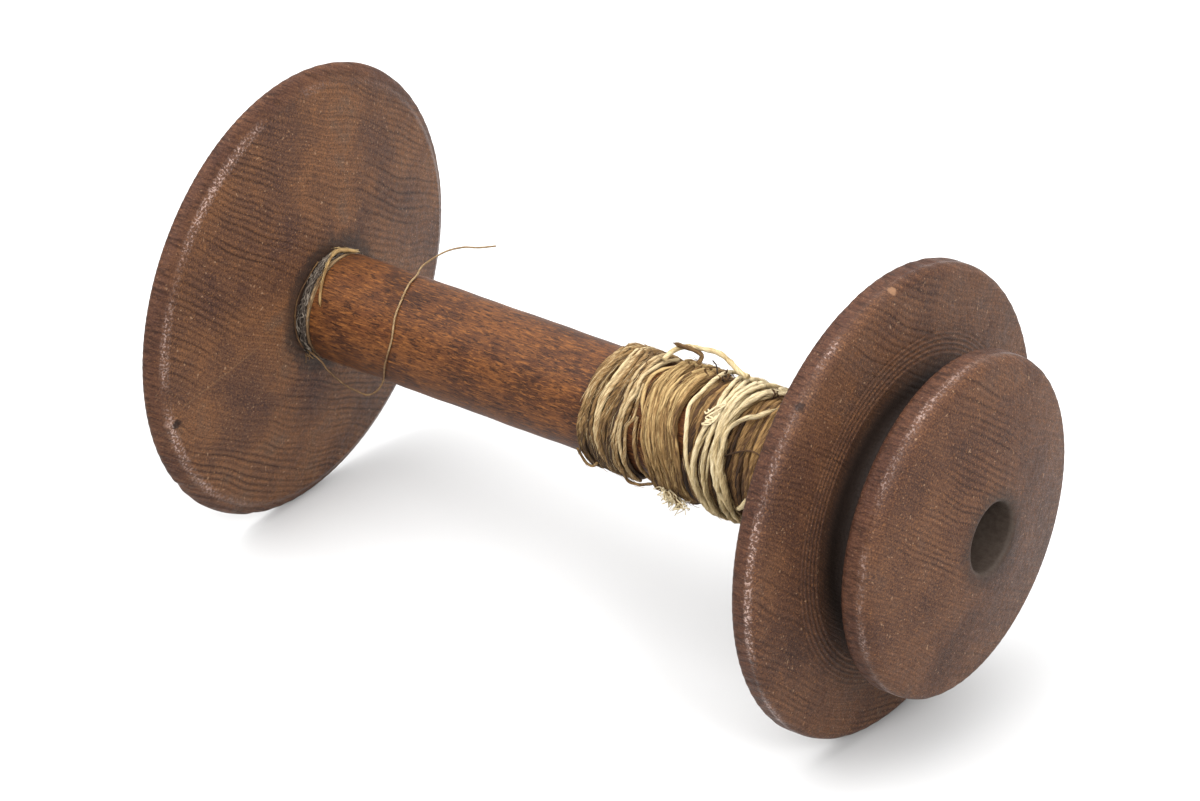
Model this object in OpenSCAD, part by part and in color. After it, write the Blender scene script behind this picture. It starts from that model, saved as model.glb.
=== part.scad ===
// Bobbin of a flax spinning wheel, with the last turns of old yarn still on it.
// Millimetres. The bore's axis is X, the driven end is at +X, and Z is up.
// The origin is on the bore's axis, midway between the two end faces.

/* [Overall] */
// Length from the outer face of the end flange to the mouth of the whorl
overall_l = 137; // [125:1:150]
// Diameter of the spindle bore
bore_d = 11; // [9:0.5:12]

/* [Flanges] */
// Diameter of the end flange and of the whorl's flange
flange_d = 75; // [66:1:90]
// How far the end flange's outer face stands out at the bore, behind its widest circle
end_back_rise = 4.4; // [3:0.1:6]
// Width of the bevel round the end flange's inner side, along the axis
end_bevel_w = 2.3; // [1.5:0.1:3.5]
// How much the radius drops over the end flange's bevel
end_bevel_drop = 2.8; // [2:0.1:4]
// How far the end flange's inner face stands out at the barrel, past the bevel
end_rise = 5.1; // [4:0.1:7]
// Thickness of the whorl's flange at its rim
whorl_rim_t = 4.6; // [4:0.1:6]
// How far the whorl's inner face stands out at the barrel
hub_rise = 7; // [4:0.5:9]
// Diameter of the flat hub face that meets the barrel
hub_d = 19; // [18.5:0.5:22]

/* [Drive whorl] */
// Diameter of the small outer disc
disc_d = 54; // [50:1:60]
// Thickness of the small outer disc at its rim
disc_rim_t = 5.7; // [5:0.1:7]
// Width of the drive-band groove at the small disc's rim
groove_w = 7.5; // [6:0.5:9]
// Diameter at the bottom of the drive-band groove
groove_bottom_d = 37; // [32:1:40]
// How far the small disc's outer face stands out at the bore
nose_rise = 3.8; // [2:0.2:5]

/* [Barrel] */
// Diameter of the barrel
barrel_d = 17.5; // [16:0.5:18]
// Diameter of the spigots at the barrel's ends
spigot_d = 14.8; // [14:0.1:15.2]
// Width of the gap between the end flange and the barrel's shoulder
neck_w = 2.2; // [1.5:0.1:3]
// Depth of the socket in the whorl that takes the barrel's spigot
socket_depth = 12; // [8:0.5:14]

/* [Yarn] */
// Thickness of one turn of yarn
yarn_d = 0.9; // [0.7:0.1:1.2]
// Diameter of the loose thin thread
thread_d = 0.3; // [0.3:0.1:0.7]

/* [Hidden] */

$fn = 96;

// Colours
wood_colour = "#7a5238";
dark_wood_colour = "#6a4431";
lint_colour = "#9a8f83";
tan_colour = "#b0905c";
brown_colour = "#80603c";
cream_colour = "#dcc89c";
thread_colour = "#9b7448";

// Radii
flange_r = flange_d / 2;
disc_r = disc_d / 2;
barrel_r = barrel_d / 2;
spigot_r = spigot_d / 2;
bore_r = bore_d / 2;
hub_r = hub_d / 2;
groove_r = groove_bottom_d / 2;
yarn_r = yarn_d / 2;

// Places along the axis, from the outer face of the end flange to the whorl's mouth
left_x = -overall_l / 2;
right_x = overall_l / 2;
end_wide_x = left_x + end_back_rise;
end_bevel_x = end_wide_x + end_bevel_w;
end_hub_x = end_bevel_x + end_rise;
shoulder_x = end_hub_x + neck_w;
disc_right_x = right_x - nose_rise;
disc_left_x = disc_right_x - disc_rim_t;
whorl_rim_right_x = disc_left_x - groove_w;
whorl_rim_left_x = whorl_rim_right_x - whorl_rim_t;
whorl_hub_x = whorl_rim_left_x - hub_rise;
socket_end_x = whorl_hub_x + socket_depth;

// Turned edges
inner_edge = 1.1;
outer_edge = 1.7;
end_edge = 0.8;
mouth_edge = 0.9;
shoulder_edge = 0.4;

// Yarn left on the barrel: the ends of each band along the axis, and the radii it reaches
striped_x = [-1, 8.5];
tan_x = [8.6, 18.9];
brown_x = [19, whorl_hub_x - 0.1];
cream_x = [19.4, 26.4];
striped_r = barrel_r + 1.3;
tan_r = barrel_r + 1.8;
brown_r = barrel_r + 1.2;
cream_r = brown_r + 1.2;
cream_turn_x = 17.4;

// Routes of the loose strands, each from its fixed end to its free end
thread_route = [[-55.5, -7.5, -5], [-53.5, -7, -6.5], [-51.5, -7.5, -7.5], [-48, -8, -8.5],
                [-45, -8.5, -8.5], [-43, -8.5, -8.5], [-41.5, -8, -7.5], [-41, -7, -6],
                [-39, -9, -1.5], [-38, -8.5, 3], [-38.5, -7, 6], [-39, -5, 7.5], [-40, -1.5, 9],
                [-41, 2, 9], [-41.5, 4, 9.5], [-40, 5, 11], [-38, 6, 12.5], [-35.5, 7, 13.5],
                [-33, 7.5, 14], [-30, 8, 15]];
arch_route = [[8.5, -0.5, 11], [8.5, 2, 11.5], [10, 3.5, 12], [12.5, 3.5, 12.5], [15.5, 4, 12.5],
              [18, 3.5, 12], [20.5, 2.5, 11.5], [22.5, 2, 11.5]];
stub_route = [[13.5, 1.5, 11], [13.5, 2.5, 12], [12, 2.5, 12.5], [10, 2.5, 12.5], [8, 2.5, 12.5]];
left_loop_route = [[-0.5, -10.5, -3], [-0.5, -9, -5.5], [0, -8.5, -6.5], [1, -8.5, -6.5],
                   [2.5, -9.5, -5]];
middle_loop_route = [[8, -10.5, -4], [8, -9, -6.5], [10, -9, -6.5], [12, -9.5, -5.5],
                     [13.5, -10.5, -4.5]];
knot_route = [[15, -9.5, -5.5], [16.5, -9, -6.5], [17.5, -9, -7], [18.5, -9.5, -7]];
end_route = [[29, -9.5, -4], [30, -10, -3], [31, -10.5, -1.5]];
strand_route = [[-53.5, 3.5, 8.5], [-55, 2, 9], [-55.5, 0, 9.5], [-55, -2.5, 9], [-54, -5, 8],
                [-53.5, -6.5, 6.5], [-53, -7.5, 5], [-52.5, -8, 4]];

// Points on an arc about [r, x]; angles run from the radius direction towards +X
function arc(centre, radius, from, to, steps) =
    [for (i = [0:steps]) let (a = from + (to - from) * i / steps)
        [centre[0] + radius * cos(a), centre[1] + radius * sin(a)]];

// Points down a turned face from one [r, x] to another; a power above 1 makes it bulge
function face_curve(from, to, power, steps) =
    [for (i = [1:steps - 1]) let (t = i / steps)
        [from[0] + (to[0] - from[0]) * t, from[1] + (to[1] - from[1]) * (1 - pow(1 - t, power))]];

// Turns an outline of [r, x] points about the X axis
module turned(outline) {
    rotate([0, 90, 0])
        rotate_extrude()
            polygon(outline);
}

// A band of wound yarn with rounded shoulders
module band(ends, inner_r, outer_r) {
    round_r = min((outer_r - inner_r) * 0.6, (ends[1] - ends[0]) * 0.45);
    turned(concat(
        [[inner_r, ends[0]]],
        arc([outer_r - round_r, ends[0] + round_r], round_r, -90, 0, 4),
        arc([outer_r - round_r, ends[1] - round_r], round_r, 0, 90, 4),
        [[inner_r, ends[1]]]));
}

// A point on the smooth curve through a route, between its points i and i + 1
function route_point(route, i, t) =
    let (a = route[max(i - 1, 0)], b = route[i], c = route[i + 1],
         d = route[min(i + 2, len(route) - 1)])
    0.5 * (2 * b + (c - a) * t + (2 * a - 5 * b + 4 * c - d) * t * t
           + (3 * b - a - 3 * c + d) * t * t * t);

function smooth_route(route, per_span) =
    concat([for (i = [0:len(route) - 2], s = [0:per_span - 1]) route_point(route, i, s / per_span)],
           [route[len(route) - 1]]);

function unit(v) = v / norm(v);

function path_direction(path, i) =
    unit(path[min(i + 1, len(path) - 1)] - path[max(i - 1, 0)]);

// Directions square to the path at each of its points, carried along it without twisting
function path_sides(path, i = 0, last = [0.3, 0.5, 0.8]) =
    i == len(path) ? [] :
    let (w = path_direction(path, i), u = unit(last - (last * w) * w))
    concat([u], path_sides(path, i + 1, u));

// A round strand swept along a route. The radius may thin towards both ends.
module strand(route, radius, per_span = 2, sides = 8, end_scale = 1) {
    path = smooth_route(route, per_span);
    path_u = path_sides(path);
    count = len(path);
    points = [for (i = [0:count - 1], s = [0:sides - 1])
        let (u = path_u[i],
             v = cross(path_direction(path, i), u),
             along = i / (count - 1),
             r = radius * (end_scale + (1 - end_scale) * sin(180 * along)),
             a = 360 * s / sides)
        path[i] + r * (cos(a) * u + sin(a) * v)];
    walls = [for (i = [0:count - 2], s = [0:sides - 1])
        let (n = (s + 1) % sides)
        [i * sides + s, i * sides + n, (i + 1) * sides + n, (i + 1) * sides + s]];
    start_cap = [[for (s = [sides - 1:-1:0]) s]];
    end_cap = [[for (s = [0:sides - 1]) (count - 1) * sides + s]];
    polyhedron(points, concat(start_cap, walls, end_cap), convexity = 4);
}

// Turned tube with a spigot at each end, bored for the spindle
module barrel() {
    color(wood_colour)
        turned(concat(
            [[bore_r + mouth_edge / 2, left_x]],
            [[spigot_r, left_x], [spigot_r, shoulder_x]],
            arc([barrel_r - shoulder_edge, shoulder_x + shoulder_edge], shoulder_edge, -90, 0, 3),
            [[barrel_r, whorl_hub_x], [spigot_r, whorl_hub_x]],
            [[spigot_r, socket_end_x], [bore_r, socket_end_x]],
            [[bore_r, left_x + mouth_edge / 2]]));
}

// Points down the rounded bevel between the end flange's widest circle and its inner face
function end_bevel(steps) =
    [for (i = [0:steps]) let (t = i / steps)
        [flange_r - end_bevel_drop * t * t, end_wide_x + end_bevel_w * t]];

// Round flange glued on the barrel's left spigot: domed on both sides, bevelled inside
module end_flange() {
    back_from = [hub_r, left_x];
    back_to = [flange_r - end_edge, end_wide_x - end_edge];
    dome_from = [flange_r - end_bevel_drop, end_bevel_x];
    dome_to = [hub_r, end_hub_x];
    color(wood_colour)
        turned(concat(
            [[spigot_r, left_x], back_from],
            face_curve(back_from, back_to, 0.85, 10),
            arc([flange_r - end_edge, end_wide_x], end_edge, -90, -10, 4),
            end_bevel(6),
            face_curve(dome_from, dome_to, 1.2, 10),
            [dome_to, [spigot_r, end_hub_x]]));
}

// Driven end, turned from one block: flange, drive-band groove and small outer disc
module drive_whorl() {
    dome_from = [hub_r, whorl_hub_x];
    dome_to = [flange_r - inner_edge, whorl_rim_left_x];
    groove_round = 2.2;
    groove_x = whorl_rim_right_x + groove_w * 0.56;
    color(dark_wood_colour)
        turned(concat(
            [[spigot_r, whorl_hub_x], dome_from],
            face_curve(dome_from, dome_to, 0.8, 10),
            arc([flange_r - inner_edge, whorl_rim_left_x + inner_edge], inner_edge, -90, 0, 4),
            arc([flange_r - outer_edge, whorl_rim_right_x - outer_edge], outer_edge, 0, 80, 5),
            [[disc_r + 1, whorl_rim_right_x + 1.1], [disc_r - 3, whorl_rim_right_x + 1.9]],
            arc([groove_r + groove_round, groove_x], groove_round, 260, 100, 6),
            arc([disc_r - 1.4, disc_left_x + 1.4], 1.4, -80, 0, 4),
            arc([disc_r - 2, disc_right_x - 2], 2, 0, 75, 5),
            face_curve([disc_r - 1.5, disc_right_x], [bore_r + mouth_edge, right_x], 1.2, 7),
            arc([bore_r + mouth_edge, right_x - mouth_edge], mouth_edge, 90, 180, 4),
            [[bore_r, socket_end_x], [spigot_r, socket_end_x]]));
}

// Grey lint packed against the end flange, in the gap beside the barrel's shoulder
module neck_lint() {
    color(lint_colour)
        band([end_hub_x, end_hub_x + neck_w / 2], spigot_r, barrel_r + 0.2);
}

// Old thin thread wound round the neck beside the lint
module neck_thread() {
    color(thread_colour)
        band([end_hub_x + neck_w / 2, shoulder_x], spigot_r, barrel_r - 0.1);
}

// Flattened tan strand lying over the front of the barrel's shoulder
module neck_strand() {
    color(tan_colour)
        strand(strand_route, 0.45, per_span = 2, end_scale = 0.6);
}

// Thin brown thread that comes off the neck, crosses the barrel and ends in the air
module loose_thread() {
    color(thread_colour)
        strand(thread_route, thread_d / 2, per_span = 3);
}

// Mixed pale and brown turns at the open end of the winding
module striped_winding() {
    color(tan_colour)
        band(striped_x, barrel_r, striped_r);
}

// Soft flat tan turns in the middle of the winding
module tan_winding() {
    color(tan_colour)
        band(tan_x, barrel_r, tan_r);
}

// Brown under-layer that runs up to the whorl
module brown_winding() {
    color(brown_colour)
        band(brown_x, barrel_r, brown_r);
}

// Cream turns wound over the brown layer
module cream_winding() {
    color(cream_colour)
        band(cream_x, brown_r, cream_r);
}

// Single cream turn that lies on top of the tan band
module cream_turn() {
    color(cream_colour)
        turned(arc([tan_r + yarn_r, cream_turn_x], yarn_r, 0, 345, 15));
}

// Cream strand that arches clear of the winding on top
module cream_arch() {
    color(cream_colour)
        strand(arch_route, yarn_r * 0.85);
}

// Short broken end of brown yarn over the arch
module brown_stub() {
    color(brown_colour)
        strand(stub_route, 0.4, end_scale = 0.7);
}

// Strands that hang a little clear of the winding underneath
module left_loop() {
    color(brown_colour)
        strand(left_loop_route, 0.35);
}

module middle_loop() {
    color(brown_colour)
        strand(middle_loop_route, 0.35);
}

// Frayed ends of a knot on the underside
module frayed_knot() {
    color(cream_colour)
        strand(knot_route, 0.6, end_scale = 0.5);
}

// Short cut end of cream yarn near the whorl
module short_end() {
    color(cream_colour)
        strand(end_route, 0.4);
}

barrel();
end_flange();
drive_whorl();
neck_lint();
neck_thread();
neck_strand();
loose_thread();
striped_winding();
tan_winding();
brown_winding();
cream_winding();
cream_turn();
cream_arch();
brown_stub();
left_loop();
middle_loop();
frayed_knot();
short_end();
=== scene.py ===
"""Looks of an old flax-wheel bobbin with leftover yarn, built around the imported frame.

Sizes written as plain numbers are millimetres, and MM turns them into metres. X runs along the bore
towards the drive whorl and Z is up. An angle about the axis is measured from +Y towards +Z.
"""
import math

import bpy
import numpy as np
from mathutils import Matrix, Vector


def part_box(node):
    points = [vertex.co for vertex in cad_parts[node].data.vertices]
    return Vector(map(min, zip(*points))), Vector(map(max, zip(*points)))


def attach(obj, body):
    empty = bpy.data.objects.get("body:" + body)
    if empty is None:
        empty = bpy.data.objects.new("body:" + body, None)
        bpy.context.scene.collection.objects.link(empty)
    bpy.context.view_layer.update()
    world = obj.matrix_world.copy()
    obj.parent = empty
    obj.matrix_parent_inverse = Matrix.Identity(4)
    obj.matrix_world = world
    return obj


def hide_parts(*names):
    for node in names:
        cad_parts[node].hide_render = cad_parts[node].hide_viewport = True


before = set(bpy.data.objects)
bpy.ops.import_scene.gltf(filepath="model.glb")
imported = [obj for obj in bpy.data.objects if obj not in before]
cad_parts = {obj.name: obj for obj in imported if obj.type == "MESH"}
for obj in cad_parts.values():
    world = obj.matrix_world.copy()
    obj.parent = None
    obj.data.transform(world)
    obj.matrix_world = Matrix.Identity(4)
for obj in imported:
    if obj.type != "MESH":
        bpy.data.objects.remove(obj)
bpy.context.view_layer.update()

MM = 0.001


def box_mm(node):
    """A CAD node's lowest and highest corners in millimetres."""
    low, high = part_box(node)
    return np.array(low) / MM, np.array(high) / MM


# ---------------- sizes, from the frame

END_LOW, END_HIGH = box_mm("end_flange")
WHORL_LOW, WHORL_HIGH = box_mm("drive_whorl")

LEFT_X, END_HUB_X = END_LOW[0], END_HIGH[0]
WHORL_HUB_X, RIGHT_X = WHORL_LOW[0], WHORL_HIGH[0]
SHOULDER_X = box_mm("neck_thread")[1][0]
BARREL_HIGH = box_mm("barrel")[1]
SOCKET_END_X = BARREL_HIGH[0]
FLANGE_R = END_HIGH[2]
BARREL_R = BARREL_HIGH[2]

# the same turned details as the solids
HUB_R = 9.5
SPIGOT_R = 7.4
BORE_R = 5.5
DISC_R = 27.0
GROOVE_R = 18.5
END_BACK_RISE = 4.4
END_BEVEL_W = 2.3
END_BEVEL_DROP = 2.8
WHORL_RIM_T = 4.6
DISC_RIM_T = 5.7
GROOVE_W = 7.5
NOSE_RISE = 3.8
END_WIDE_X = LEFT_X + END_BACK_RISE
END_BEVEL_X = END_WIDE_X + END_BEVEL_W
DISC_RIGHT_X = RIGHT_X - NOSE_RISE
DISC_LEFT_X = DISC_RIGHT_X - DISC_RIM_T
RIM_RIGHT_X = DISC_LEFT_X - GROOVE_W
RIM_LEFT_X = RIM_RIGHT_X - WHORL_RIM_T

rng = np.random.default_rng(1863)


# ---------------- camera

def aim_camera():
    """The viewing angle of the picture: from the driven end's side, well above the table."""
    azimuth, elevation = math.radians(36.2), math.radians(29.2)
    target, distance = Vector((-8.5, 0, 0)), 991
    side, rise = 3.7, -1.7   # how far the camera stands off the line through the target
    back = Vector((math.sin(azimuth) * math.cos(elevation),
                   -math.cos(azimuth) * math.cos(elevation), math.sin(elevation)))
    right = Vector((math.cos(azimuth), math.sin(azimuth), 0))
    up = back.cross(right)
    data = bpy.data.cameras.new("camera")
    data.sensor_width = 36
    data.lens = 192
    data.clip_start, data.clip_end = 0.05, 50
    camera = bpy.data.objects.new("camera", data)
    bpy.context.scene.collection.objects.link(camera)
    turn = Matrix((right, up, back)).transposed().to_4x4()
    place = (target + back * distance + right * side + up * rise) * MM
    camera.matrix_world = Matrix.Translation(place) @ turn
    bpy.context.scene.camera = camera


aim_camera()


# ---------------- material helpers

def srgb(code):
    """A linear colour from a screen colour such as "7d5842"."""
    parts = [int(code[i:i + 2], 16) / 255 for i in (0, 2, 4)]
    return tuple(c / 12.92 if c <= 0.04045 else ((c + 0.055) / 1.055) ** 2.4 for c in parts) + (1,)


def grey(level):
    return (level, level, level, 1)


class Shader:
    """A small builder for one material's nodes."""

    def __init__(self, name):
        self.material = bpy.data.materials.new(name)
        self.material.use_nodes = True
        self.tree = self.material.node_tree
        self.tree.nodes.clear()
        self.surface = self.node("ShaderNodeBsdfPrincipled")
        output = self.node("ShaderNodeOutputMaterial")
        self.tree.links.new(self.surface.outputs[0], output.inputs[0])

    def node(self, kind, inputs=None, **settings):
        made = self.tree.nodes.new(kind)
        for key, value in settings.items():
            setattr(made, key, value)
        for key, value in (inputs or {}).items():
            self.feed(made.inputs[key], value)
        return made

    def feed(self, socket, value):
        if isinstance(value, bpy.types.NodeSocket):
            self.tree.links.new(value, socket)
        else:
            socket.default_value = value

    def math(self, operation, a, b=0.0, c=0.0):
        return self.node("ShaderNodeMath", {0: a, 1: b, 2: c}, operation=operation).outputs[0]

    def vector(self, operation, a, b=(0, 0, 0), scale=1.0):
        made = self.node("ShaderNodeVectorMath", operation=operation)
        self.feed(made.inputs[0], a)
        if operation == "SCALE":
            made.inputs["Scale"].default_value = scale
        elif operation != "LENGTH":
            self.feed(made.inputs[1], b)
        return made.outputs["Value" if operation in ("DOT_PRODUCT", "LENGTH") else "Vector"]

    def noise(self, where, scale, detail=3.0, rough=0.55, distortion=0.0):
        made = self.node("ShaderNodeTexNoise", {"Vector": where, "Scale": scale, "Detail": detail,
                                                "Roughness": rough, "Distortion": distortion})
        return made.outputs[0]

    def span(self, value, low, high, out_low=0.0, out_high=1.0, smooth=False):
        """Maps low..high on to out_low..out_high and holds it there."""
        made = self.node("ShaderNodeMapRange", {0: value, 1: low, 2: high, 3: out_low, 4: out_high},
                         interpolation_type="SMOOTHSTEP" if smooth else "LINEAR")
        return made.outputs[0]

    def ramp(self, value, stops):
        made = self.node("ShaderNodeValToRGB", {0: value})
        points = made.color_ramp.elements
        while len(points) < len(stops):
            points.new(0.5)
        for point, (place, colour) in zip(points, stops):
            point.position = place
            point.color = colour
        return made.outputs[0]

    def mix(self, factor, a, b):
        made = self.node("ShaderNodeMix", data_type="RGBA")
        self.feed(made.inputs[0], factor)
        self.feed(made.inputs[6], a)
        self.feed(made.inputs[7], b)
        return made.outputs[2]

    def bump(self, height, strength, distance):
        made = self.node("ShaderNodeBump", {"Height": height, "Strength": strength,
                                            "Distance": distance})
        self.feed(self.surface.inputs["Normal"], made.outputs[0])

    def point(self, x, y, z=0.0):
        """A point put together from three values."""
        return self.node("ShaderNodeCombineXYZ", {0: x, 1: y, 2: z}).outputs[0]

    def stretched(self, where, along_x):
        """The point with its X scaled, to draw a pattern out along the barrel."""
        return self.node("ShaderNodeMapping", {"Vector": where, "Scale": (along_x, 1.0, 1.0)}).outputs[0]

    def place_mm(self):
        """The point in the object's own frame, in millimetres."""
        made = self.node("ShaderNodeTexCoord")
        return self.vector("SCALE", made.outputs["Object"], scale=1 / MM)


# ---------------- wood

RING_ACROSS = (0.0, 0.530, 0.848)   # square to the growth rings, which hold the X axis
RING_ALONG = (0.0, 0.848, -0.530)
RING_STEP = 1.05                    # from one growth ring to the next
TOOL_STEP = 0.75                    # from one ring of the turner's gouge to the next


def end_grain(name, offset, stains, grime_and_shade, edges, marks):
    """Turned wood stained brown, with growth rings that run across the disc and over its rim.
    stains are four tones from dark to pale. The next three arguments are functions that give masks from 0 to
    1:
    the first darkens the wood for grime and painted shade, edges gives the rims, and marks gives a colour
    with each."""
    s = Shader(name)
    p = s.place_mm()
    q = s.vector("ADD", p, offset)   # keeps the two discs from sharing one pattern
    x, r = radius_of(s, p)
    across = s.vector("DOT_PRODUCT", p, RING_ACROSS)
    along = s.vector("DOT_PRODUCT", p, RING_ALONG)

    # growth rings: bowed, wandering, and each with a strength of its own
    drift = s.math("MULTIPLY_ADD", s.noise(q, 0.03, 0.0), 8.0, -4.0)
    bow = s.math("MULTIPLY", s.math("MULTIPLY", along, along), -0.0012)
    wander = s.math("MULTIPLY_ADD", s.noise(q, 0.12, 0.0), 1.8, -0.9)
    ring_at = s.math("ADD", s.math("ADD", s.math("ADD", across, bow), drift), wander)
    count = s.math("DIVIDE", ring_at, RING_STEP)
    line = s.ramp(s.math("FRACT", count), [(0.0, grey(0.5)), (0.22, grey(0)), (0.42, grey(0.1)),
                                           (0.78, grey(1)), (1.0, grey(0.5))])
    fate = s.node("ShaderNodeTexWhiteNoise", {"W": s.math("FLOOR", count)}, noise_dimensions="1D")
    line = s.math("MULTIPLY", line, s.span(fate.outputs[0], 0.0, 1.0, 0.5, 1.0))
    patch = s.span(s.noise(q, 0.045, 1.0), 0.38, 0.56, 0.5, 1.0)
    between = s.span(s.math("SINE", s.math("MULTIPLY", ring_at, 11.0)), -0.4, 1.0)
    between = s.math("MULTIPLY", between, s.span(patch, 0.5, 1.0, 0.45, 0.1))
    line = s.math("MAXIMUM", s.math("MULTIPLY", line, patch), between)

    # rays, pores and specks over the stain
    rays = s.noise(s.point(s.math("MULTIPLY", along, 3.4), s.math("MULTIPLY", across, 0.55),
                           s.math("MULTIPLY", x, 0.5)), 1.0, 2.0, 0.6)
    pores = s.noise(q, 3.6, 3.0, 0.8)
    specks = s.noise(q, 1.7, 1.0, 0.5)
    blotch = s.noise(q, 0.075, 4.0, 0.62)
    tone = s.ramp(s.span(blotch, 0.30, 0.70),
                  [(place, srgb(stain)) for place, stain in zip((0.0, 0.42, 0.7, 1.0), stains)])
    tone = s.mix(s.math("MULTIPLY", line, 0.84), tone, srgb("1f110b"))
    tone = s.mix(s.span(rays, 0.35, 0.75, 0.0, 0.22), tone, srgb("3b251d"))
    tone = s.mix(s.span(pores, 0.50, 0.68, 0.0, 0.8), tone, srgb("1a0e09"))
    tone = s.mix(s.span(pores, 0.46, 0.30, 0.0, 0.6), tone, srgb("8f6138"))
    tone = s.mix(s.span(specks, 0.70, 0.76, 0.0, 0.5), tone, srgb("a08064"))
    # grime, and painted shade in the neck crease, the drive-band groove and the bore
    tone = s.mix(grime_and_shade(s, p, q), tone, srgb("2a221e"))

    # the rims: redder, hatched across, and with pale specks along the crest on the -Y side, partly wear and
    # partly painted highlight
    hatch = s.noise(s.point(s.math("MULTIPLY", across, 2.6), s.math("MULTIPLY", x, 0.6),
                            s.math("MULTIPLY", r, 0.5)), 1.0, 3.0, 0.7)
    band, edge = edges(s, x, r)
    speck = s.noise(q, 2.4, 2.0, 0.7)
    tone = s.mix(s.math("MULTIPLY", band, 0.5), tone, srgb("452a20"))
    tone = s.mix(s.math("MULTIPLY", band, s.span(hatch, 0.46, 0.62, 0.0, 0.62)), tone, srgb("1c0f0a"))
    highlit_and_handled_side = s.math("MULTIPLY", s.span(s.noise(q, 0.07, 1.0), 0.40, 0.60),
                     s.span(s.vector("DOT_PRODUCT", p, (0.0, -1.0, 0.3)), 2.0, 22.0))
    # painted highlight and wear: pale specks along the crest on the side towards -Y
    highlight_and_wear = s.math("MULTIPLY", edge, highlit_and_handled_side)
    tone = s.mix(s.math("MULTIPLY", highlight_and_wear, s.span(speck, 0.52, 0.60, 0.08, 0.9)), tone, srgb("a08478"))
    for strength, colour in marks(s, p):
        tone = s.mix(strength, tone, srgb(colour))
    s.feed(s.surface.inputs["Base Color"], tone)

    # smoother along the edges, and rougher where the grain opens
    rough = s.span(s.noise(q, 0.9, 3.0, 0.6), 0.3, 0.7, 0.44, 0.62)
    s.feed(s.surface.inputs["Roughness"], s.math("SUBTRACT", rough, s.math("MULTIPLY", edge, 0.2)))
    glint = s.math("MULTIPLY", highlight_and_wear, s.span(speck, 0.5, 0.62))
    s.feed(s.surface.inputs["Specular IOR Level"], s.math("MULTIPLY_ADD", glint, 0.8, 0.12))
    relief = s.math("MULTIPLY_ADD", line, -0.7, s.math("MULTIPLY", pores, 0.9))
    relief = s.math("ADD", relief, s.math("MULTIPLY", rays, 0.5))
    chatter = s.math("MULTIPLY", s.math("MAXIMUM", band, edge), s.math("MULTIPLY_ADD", hatch, 2.0, speck))
    s.bump(s.math("ADD", relief, chatter), 0.7, 0.00012)
    return s.material


def radius_of(s, p):
    """The point's X and its distance from the bore's axis."""
    part = s.node("ShaderNodeSeparateXYZ", {0: p})
    y, z = part.outputs[1], part.outputs[2]
    r = s.math("SQRT", s.math("ADD", s.math("MULTIPLY", y, y), s.math("MULTIPLY", z, z)))
    return part.outputs[0], r


def flange_grime_and_shade(s, p, q):
    """Darkening round the neck of the end flange: grime, and painted shade in the crease by the barrel."""
    x, r = radius_of(s, p)
    ragged = s.math("MULTIPLY_ADD", s.noise(q, 0.6, 4.0, 0.7), 4.0, -2.0)
    # grime and painted shade darken the face round the hub, next to the barrel
    near = s.span(s.math("ADD", r, ragged), 10.2, 12.6, 0.75, 0.0, smooth=True)
    return s.math("MULTIPLY", near, s.span(x, END_HUB_X - 3, END_HUB_X - 1.2))


def whorl_grime_and_shade(s, p, q):
    """Darkening in the drive-band groove, partly grime and partly painted shade, the groove's tool marks,
    painted shade on the bore's wall, and grime round the bore's mouth.
    """
    x, r = radius_of(s, p)
    between = s.math("MULTIPLY", s.span(x, RIM_RIGHT_X + 0.7, RIM_RIGHT_X + 1.4),
                     s.span(x, DISC_LEFT_X + 0.6, DISC_LEFT_X - 0.4))
    # grime and painted shade deep in the drive-band groove
    groove_shade_and_grime = s.math("MULTIPLY", between, s.span(r, 25.5, 20.5, 0.0, 0.97, smooth=True))
    rings = s.span(s.math("SINE", s.math("MULTIPLY", r, 2 * math.pi / TOOL_STEP)), 0.0, 1.0)
    rings = s.math("MULTIPLY", s.math("MULTIPLY", rings, between), s.span(r, 32.0, 26.0, 0.0, 0.6))
    ragged = s.math("MULTIPLY_ADD", s.noise(q, 0.5, 4.0, 0.7), 4.0, -2.0)
    mouth = s.span(s.math("ADD", r, ragged), BORE_R, 9.5, 0.7, 0.0, smooth=True)
    mouth = s.math("MULTIPLY", mouth, s.span(x, DISC_LEFT_X - 9, DISC_LEFT_X - 4))
    # painted shade: the bore's wall is darkened
    wall = s.span(r, BORE_R + 0.6, BORE_R + 0.2, 0.0, 0.9)
    return s.math("MAXIMUM", s.math("MAXIMUM", groove_shade_and_grime, rings), s.math("MAXIMUM", wall, mouth))


def ridge(s, value, at, width):
    """1 where value is at, falling to 0 at that width either side."""
    return s.span(s.math("ABSOLUTE", s.math("SUBTRACT", value, at)), width, 0.0, 0.0, 1.0, smooth=True)


def flange_edges(s, x, r):
    """The bevelled band of the end flange, and the crest between it and the face, which takes the pale specks
    of wear and painted highlight.
    """
    band = s.span(r, FLANGE_R - END_BEVEL_DROP - 0.4, FLANGE_R - 0.6)
    return band, ridge(s, r, FLANGE_R - END_BEVEL_DROP + 0.4, 1.1)


def spot(s, p, centre, size, strength):
    """A soft mark round one point."""
    gap = s.vector("LENGTH", s.vector("SUBTRACT", p, centre))
    ragged = s.math("MULTIPLY_ADD", s.noise(p, 1.6, 2.0, 0.7), size, -size / 2)
    return s.span(s.math("ADD", gap, ragged), size, size * 0.5, 0.0, strength, smooth=True)


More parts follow.
